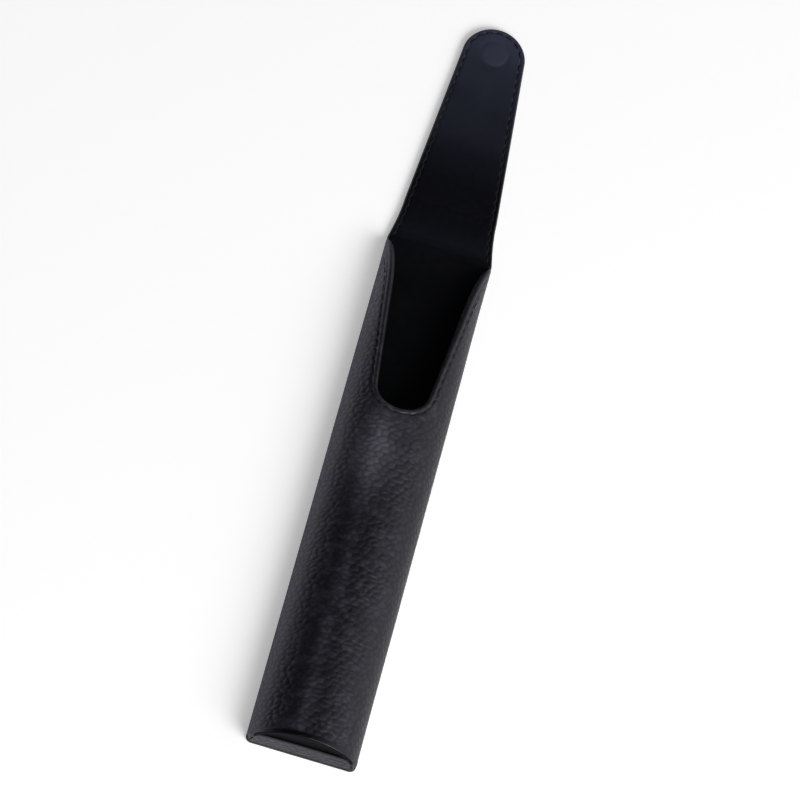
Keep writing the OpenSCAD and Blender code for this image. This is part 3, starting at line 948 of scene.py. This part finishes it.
def flap_lining_relief(p, d, label):
    y = p[:, 1]
    on_flap = smooth(FOLD_1 - 1, FOLD_1 + 3, y)
    depth = on_flap * (0.05 * noise(p, 13.0, 61) + 0.022 * noise(p, 4.5, 62)) + 0.012 * noise(p, 1.7, 63)
    sewn = (label == "flap") & (y > FOLD_1 + 0.5)
    groove = np.where(sewn, bump(d, STITCH_D - LINING_INSET, 0.26), 0.0)
    depth += 0.1 * groove + np.where(y > FOLD_1, holes(p, FLAP_STITCHES, 0.14, 0.24), 0.0)
    depth += creases(p)
    r = np.hypot(p[:, 0], y - MARK_Y)
    mark = smooth(MARK_R + 0.5, MARK_R - 0.7, r)
    depth += 0.09 * bump(r, MARK_R, 0.5) - 0.11 * mark * (1 - 0.5 * (r / MARK_R) ** 2)
    # Paler towards the tip as the table gives; on the press mark a painted highlight, brightest on its side
    # towards the fold; and a band just past the fold a little paler
    wear_and_highlight = np.interp(y, LINING_PALE_Y, LINING_WEAR_AND_LIGHT)
    wear_and_highlight = (wear_and_highlight + mark * np.clip(0.22 - 0.12 * (y - MARK_Y), 0, 0.7)) * (0.92 + 0.14 * noise(p, 5.0, 64))
    wear_and_highlight = wear_and_highlight + 0.06 * on_flap * bump(y, FOLD_1 + 3.0, 4.0)
    # The dome falls to 0 inside the pocket, where the lining takes painted deep black shade
    return depth + 0.02, smooth(FOLD_1 - 14, FOLD_1 + 5, y), np.clip(wear_and_highlight, 0, 1.2)


def from_above(p, depth):
    return np.stack([p[:, 0], p[:, 1], STACK - depth], 1)


o, labels = long_outline(lining_edge(), LINING_INSET, 0.35)
bands = {
    "body": [0.4],
    "flap": arc_steps(LINING_EDGE_R, [0.5, 0.75, 0.92, 1.04, 1.15, 1.26, 1.38, 1.55, 1.8]),
}
floor_lining = Sheet(o, labels, bands, 0.55, LINING_EDGE_R, 0.5, 0.04,
                     from_above, flap_lining_relief, cut=SPLIT_Y, back_grid=3.0)
back_lining, tongue_lining = split_objects(
    ("floor_and_spine_lining", "flap_lining"), floor_lining, LINING_M, SPLIT_Y)

# ---- end cap

CAP_A, CAP_B = HALF_W - LEATHER - ROOM, RISE - LEATHER - ROOM


def cap_place(p, depth):
    return np.stack([p[:, 0], CAP_RECESS + depth, LEATHER + ROOM + p[:, 1]], 1)


def cap_relief(p, d, _):
    """The panel is sunk in the middle."""
    grain, dome = pebbles(p + (20.0, 300.0))
    sunk = 0.45 * smooth(0.4, 4.0, d)
    depth = 0.4 * smooth(0.3, 1.2, d) * grain + sunk + 0.03 * noise(p, 6.0, 71)
    return depth, dome, np.zeros(len(p))


t = np.linspace(0, math.pi, 1200)
arc = np.stack([CAP_A * np.cos(t), CAP_B * np.sin(t)], 1)
o, labels = outline([(arc, "arc"), (np.array([(-CAP_A, 0.0), (CAP_A, 0.0)]), "flat")], 0.3)
bands = {"arc": arc_steps(0.4, [0.6, 0.9]), "flat": arc_steps(0.3, [0.6, 1.0])}
cap = Sheet(o, labels, bands, 0.36, soften(np.where(labels == "arc", 0.4, 0.3)),
            0.9, 0.05, cap_place, cap_relief)
end_cap = sheet_object("end_cap_panel", cap, MATT_M)

# The strip that is turned up before the panel
STRIP_A, STRIP_B, STRIP_Y = CAP_A - 0.1, CAP_B - 0.1, 0.04


def turn_up_place(p, depth):
    return np.stack([p[:, 0], STRIP_Y + depth, LEATHER + 0.03 + p[:, 1]], 1)


def turn_up_relief(p, d, label):
    grain, dome = pebbles(p + (20.0, 300.0))
    calm = smooth(0.2, 1.0, d)
    depth = (0.3 + 0.5 * calm) * grain + 0.04 * noise(p, 6.0, 72)
    depth += 0.12 * smooth(3.0, 0.0, d) * (label == "top")
    return depth, dome * (0.4 + 0.6 * calm), 0.07 + 0.12 * bump(d, 0.3, 0.4) * dome


t = np.linspace(0, math.asin(TURN_UP / STRIP_B), 200)
side = np.stack([STRIP_A * np.cos(t), STRIP_B * np.sin(t)], 1)
top = np.linspace(side[-1, 0], -side[-1, 0], 60)
top = np.stack([top, TURN_UP + 0.5 * (1 - (top / side[-1, 0]) ** 2)], 1)
flat = np.array([mirrored(side)[-1], side[0]])
o, labels = outline([(side, "side"), (top, "top"), (mirrored(side), "side"), (flat, "flat")], 0.3)
bands = {k: arc_steps(0.3, [0.5, 0.8]) for k in ("side", "top", "flat")}
strip = Sheet(o, labels, bands, 0.34, 0.3, 0.62, 0.04, turn_up_place, turn_up_relief)
turn_up = sheet_object("end_turned_up_strip", strip, LEATHER_M)

# ---- lining at the pocket's closed end

POCKET_END, POCKET_A, POCKET_B = 2.5, HALF_W - FRONT_WALL - ROOM, RISE - FRONT_WALL - ROOM


def end_lining_place(p, depth):
    return np.stack([p[:, 0], POCKET_END - depth, LEATHER + p[:, 1]], 1)


# A dome of 0 gives this lining the pocket's painted deep black shade
def end_lining_relief(p, *_):
    return 0.03 * noise(p, 6.0, 81) + 0.012 * noise(p, 1.7, 82), np.zeros(len(p)), np.zeros(len(p))


t = np.linspace(math.asin((STACK + 0.03 - LEATHER) / POCKET_B), math.pi / 2, 600)
quarter = np.stack([POCKET_A * np.cos(t), POCKET_B * np.sin(t)], 1)
arc = np.concatenate([quarter, mirrored(quarter)[1:]])
o, labels = outline([(arc, "arc"), (np.array([arc[-1], arc[0]]), "flat")], 0.4)
bands = {k: arc_steps(0.2, [0.5]) for k in ("arc", "flat")}
end_lin = Sheet(o, labels, bands, 1.0, 0.2, 0.49, 0.04, end_lining_place, end_lining_relief,
                flip=True, back_grid=3.0)
end_lining = sheet_object("pocket_end_lining", end_lin, LINING_M)

# ---- stitches

ALONG_STEPS, ROUND_STEPS = 17, 15
# Length over which the thread's three plies turn once
TWIST_L = 2.4
# Depth of the thread below the surface: on the front, and on either face of the flap
NOTCH_SINK, SIDE_SINK, LINING_SINK, BACK_SINK = 0.16, 0.3, 0.12, 0.3
# The closed end's stitches lie on the sunk panel, or low down on the turned-up strip
PANEL_STITCH_Y, STRIP_STITCH_Y = 0.52, 0.22


def threads(name, stitches):
    """Twisted thread for each stitch. A stitch is (a, b, out): its two ends on the surface, and the
    way out of it."""
    xyz, faces, grain, dome = [], [], [], []
    count = 0
    for a, b, out in stitches:
        a, b, out = (np.asarray(v, float) for v in (a, b, out))
        length = np.linalg.norm(b - a)
        way = (b - a) / length
        out = out - way * (out @ way)
        out /= np.linalg.norm(out)
        side = np.cross(way, out)
        u = np.linspace(-0.02, 1.02, ALONG_STEPS)
        lift = 0.09 - 0.5 * np.abs(2 * u - 1) ** 5
        line = a + (b - a) * u[:, None] + out * lift[:, None]
        tangent = np.gradient(line, axis=0)
        tangent /= np.linalg.norm(tangent, axis=1)[:, None]
        up = np.cross(side, tangent)
        phi = np.linspace(0, 2 * math.pi, ROUND_STEPS, endpoint=False)
        turn = 2 * math.pi * u * length / TWIST_L
        ply = np.cos(3 * (phi[None, :] + turn[:, None]))
        r = THREAD_R * (0.93 + 0.13 * ply)
        way_round = np.cos(phi)[None, :, None] * side + np.sin(phi)[None, :, None] * up[:, None, :]
        xyz.append((line[:, None, :] + r[..., None] * way_round).reshape(-1, 3))
        # Each stitch takes its fibres from another place
        place = (u[:, None] * length + 0 * ply, phi[None, :] * THREAD_R + 0 * ply, 0 * ply + count * 0.01)
        grain.append(np.stack(place, 2).reshape(-1, 3))
        dome.append((0.5 + 0.5 * ply).ravel())
        last = count + (ALONG_STEPS - 1) * ROUND_STEPS
        for row_start in range(count, last, ROUND_STEPS):
            for j in range(ROUND_STEPS):
                p, q = row_start + j, row_start + (j + 1) % ROUND_STEPS
                faces.append([p + ROUND_STEPS, q + ROUND_STEPS, q, p])
        faces.append(list(range(count, count + ROUND_STEPS)))
        faces.append(list(range(last, last + ROUND_STEPS))[::-1])
        count += ALONG_STEPS * ROUND_STEPS
    fields = {"grain": np.concatenate(grain), "dome": np.concatenate(dome)}
    return new_mesh(name, np.concatenate(xyz), faces, fields, THREAD_M)


def arch_stitches(ends, depth):
    mid = (ends[:, 0] + ends[:, 1]) / 2
    return list(zip(arch(ends[:, 0], depth), arch(ends[:, 1], depth), arch(mid, 0.0) - arch(mid, 1.0)))


def end_stitches():
    a, b = HALF_W - LEATHER - 0.3, RISE - LEATHER - 0.3
    mean = (a + b) / 2
    pitch, long = STITCH_PITCH / mean, STITCH_L / mean
    count = int((math.pi - 2 * math.radians(6) - long) / pitch) + 1
    first = math.pi / 2 - ((count - 1) * pitch + long) / 2
    made = []
    for t0 in (first + i * pitch for i in range(count)):
        ends = [(a * math.cos(t), LEATHER + b * math.sin(t)) for t in (t0, t0 + long)]
        ends = [(x, STRIP_STITCH_Y if z < LEATHER + TURN_UP else PANEL_STITCH_Y, z) for x, z in ends]
        made.append((*ends, (0.0, -1.0, 0.0)))
    return made


def flat_stitches(ends, z, up):
    a, b = (np.concatenate([ends[:, k], np.full((len(ends), 1), z)], 1) for k in (0, 1))
    return [(p, q, (0.0, 0.0, up)) for p, q in zip(a, b)]


def flap_threads(name, ends):
    """The same stitches on the lining's face and on the back leather's."""
    return threads(name, flat_stitches(ends, STACK - LINING_SINK, 1) + flat_stitches(ends, BACK_SINK, -1))


left_ends, right_ends = SIDE_STITCHES_S[:len(SIDE_ROW)], SIDE_STITCHES_S[len(SIDE_ROW):]
notch_thread = threads("notch_stitches", arch_stitches(NOTCH_STITCHES_S, NOTCH_SINK))
left_thread = threads("left_seam_stitches", arch_stitches(left_ends, SIDE_SINK))
right_thread = threads("right_seam_stitches", arch_stitches(right_ends, SIDE_SINK))
end_thread = threads("end_seam_stitches", end_stitches())
spine_thread = flap_threads("spine_stitches", FLAP_STITCHES[:SPINE_COUNT])
tongue_thread = flap_threads("tongue_stitches", FLAP_STITCHES[SPINE_COUNT:])

# ---- riding and replacing


for piece, slot, stands_for in (
    (front_leather, "grained_leather", ["front_leather"]),
    (front_lining, "smooth_lining", ["front_lining"]),
    (end_cap, "grained_leather", ["end_cap_leather"]),
    (turn_up, "grained_leather", ["end_cap_leather"]),
    (end_lining, "smooth_lining", ["end_cap_lining"]),
    (notch_thread, "thread", ["notch_thread"]),
    (left_thread, "thread", ["left_seam_thread"]),
    (right_thread, "thread", ["right_seam_thread"]),
    (end_thread, "thread", ["end_seam_thread"]),
):
    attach(piece, "sleeve")
    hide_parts(*stands_for)

for piece, slot, stands_for in (
    (back_leather, "grained_leather", ["back_leather", "spine_leather", "spine_board"]),
    (back_lining, "smooth_lining", ["back_lining", "spine_lining"]),
    (spine_thread, "thread", ["spine_thread"]),
):
    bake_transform(piece)
    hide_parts(*stands_for)

for piece, slot, stands_for in (
    (tongue_leather, "grained_leather", ["tongue_leather", "tongue_board"]),
    (tongue_lining, "smooth_lining", ["tongue_lining"]),
    (tongue_thread, "thread", ["tongue_thread"]),
):
    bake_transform(piece)
    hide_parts(*stands_for)

for name in ("back_board", "front_board", "end_cap_board"):
    cad = frame["nodes"][name]
    cad.data.materials.clear()
    cad.data.materials.append(BOARD_M)

# ---- floor, light and camera

# The floor's half width in metres
FLOOR_HALF = 6.0
# How bright the table is to the camera, and in a gloss reflection on the left of the object
SEEN, MIRRORED = 0.39, 0.33

# The camera, fitted to the object's outline: angles in degrees, distance in metres
FRAME_PX, FOCAL_PX, SHIFT_PX = 800.0, 4894.0, -5.7
SENSOR = 36.0
TILT, YAW, ROLL = 26.2, 2.5, -15.5
AIM_Y, DISTANCE = 110.0, 1.33


def floor():
    """A pale table that the camera sees as white, and that keeps the shadow."""
    me = bpy.data.meshes.new("floor")
    s = FLOOR_HALF
    me.from_pydata([(-s, -s, 0), (s, -s, 0), (s, s, 0), (-s, s, 0)], [], [(0, 1, 2, 3)])
    m, t, p = material("pale_table")
    co = node(t, "ShaderNodeTexCoord").outputs["Object"]
    soft = cloud(t, co, 3.0, 2.0, 0.5)
    t.links.new(mix(t, soft, (0.86, 0.86, 0.865), (0.88, 0.88, 0.885)), p.inputs["Base Color"])
    p.inputs["Roughness"].default_value = 0.8
    p.inputs["Specular IOR Level"].default_value = 0.2
    path = node(t, "ShaderNodeLightPath").outputs
    x = node(t, "ShaderNodeSeparateXYZ", {0: co}).outputs[0]
    seen = times(t, path["Is Camera Ray"], SEEN)
    in_gloss = times(t, path["Is Glossy Ray"], ramp(t, x, -0.02, 0.03, MIRRORED, 0.0))
    tint = mix(t, path["Is Glossy Ray"], (1.0, 1.0, 1.0), (0.8, 0.77, 1.0))
    t.links.new(tint, p.inputs["Emission Color"])
    t.links.new(plus(t, seen, in_gloss), p.inputs["Emission Strength"])
    me.materials.append(m)
    f = add_object("floor", me)


def lamp(name, at, aim, size, watts, colour):
    data = bpy.data.lights.new(name, "AREA")
    data.shape = "RECTANGLE"
    data.size, data.size_y = size
    data.energy = watts
    data.color = colour
    o = add_object(name, data)
    o.location = at
    o.rotation_mode = "QUATERNION"
    o.rotation_quaternion = (Vector(aim) - Vector(at)).to_track_quat("-Z", "Y")


def world():
    """A studio that is dark overhead and to the left but for a low pale band, pale to the right and
    bright on the closed end's side."""
    w = bpy.data.worlds.new("studio")
    bpy.context.scene.world = w
    w.use_nodes = True
    t = w.node_tree
    back = t.nodes["Background"]
    direction = node(t, "ShaderNodeTexCoord").outputs["Generated"]
    x, y, z = node(t, "ShaderNodeSeparateXYZ", {0: direction}).outputs
    right = times(t, ramp(t, x, 0.2, 0.7, 0.0, 1.0), ramp(t, z, 0.5, 0.85, 1.0, 0.0))
    right = times(t, right, ramp(t, y, -0.55, -0.1, 0.15, 1.0))
    sky = mix(t, right, (0.022, 0.022, 0.026), (0.72, 0.72, 0.77))
    left = times(t, ramp(t, x, -0.2, -0.6, 0.0, 1.0), ramp(t, z, 0.02, 0.14, 1.0, 0.0))
    sky = mix(t, left, sky, (0.88, 0.87, 0.94))
    front = times(t, ramp(t, y, -0.5, -0.25, 1.0, 0.0), ramp(t, z, 0.72, 0.9, 1.0, 0.0))
    front = times(t, front, ramp(t, z, 0.38, 0.58, 0.0, 1.0))
    panel = mix(t, ramp(t, x, 0.0, 0.45, 0.0, 1.0), (0.33, 0.33, 0.34), (3.25, 3.23, 3.2))
    t.links.new(mix(t, front, sky, panel), back.inputs["Color"])
    back.inputs["Strength"].default_value = 1.0


def camera():
    tilt, yaw, roll = (math.radians(a) for a in (TILT, YAW, ROLL))
    target = Vector((0, (AIM_Y - ROW_Y) * MM, 0))
    d = Vector((-math.sin(yaw), -math.sin(tilt) * math.cos(yaw), math.cos(tilt) * math.cos(yaw)))
    right0 = (-d).cross(Vector((0, 1, 0))).normalized()
    up0 = right0.cross(-d)
    right = right0 * math.cos(roll) - up0 * math.sin(roll)
    up = up0 * math.cos(roll) + right0 * math.sin(roll)
    data = bpy.data.cameras.new("camera")
    data.sensor_width = SENSOR
    data.lens = FOCAL_PX / FRAME_PX * SENSOR
    data.shift_y = SHIFT_PX / FRAME_PX
    data.clip_start, data.clip_end = 0.05, 50.0
    m = Matrix((right, up, d)).transposed().to_4x4()
    m.translation = target + d * DISTANCE
    cam = add_object("camera", data)
    cam.matrix_world = m
    bpy.context.scene.camera = cam


floor()
world()
lamp("soft_key", (0.95, -0.85, 0.95), (0, 0, 0), (1.1, 0.8), 20.0, (1.0, 0.99, 0.98))
camera()
bpy.context.scene.view_settings.view_transform = "Standard"

bpy.context.view_layer.update()
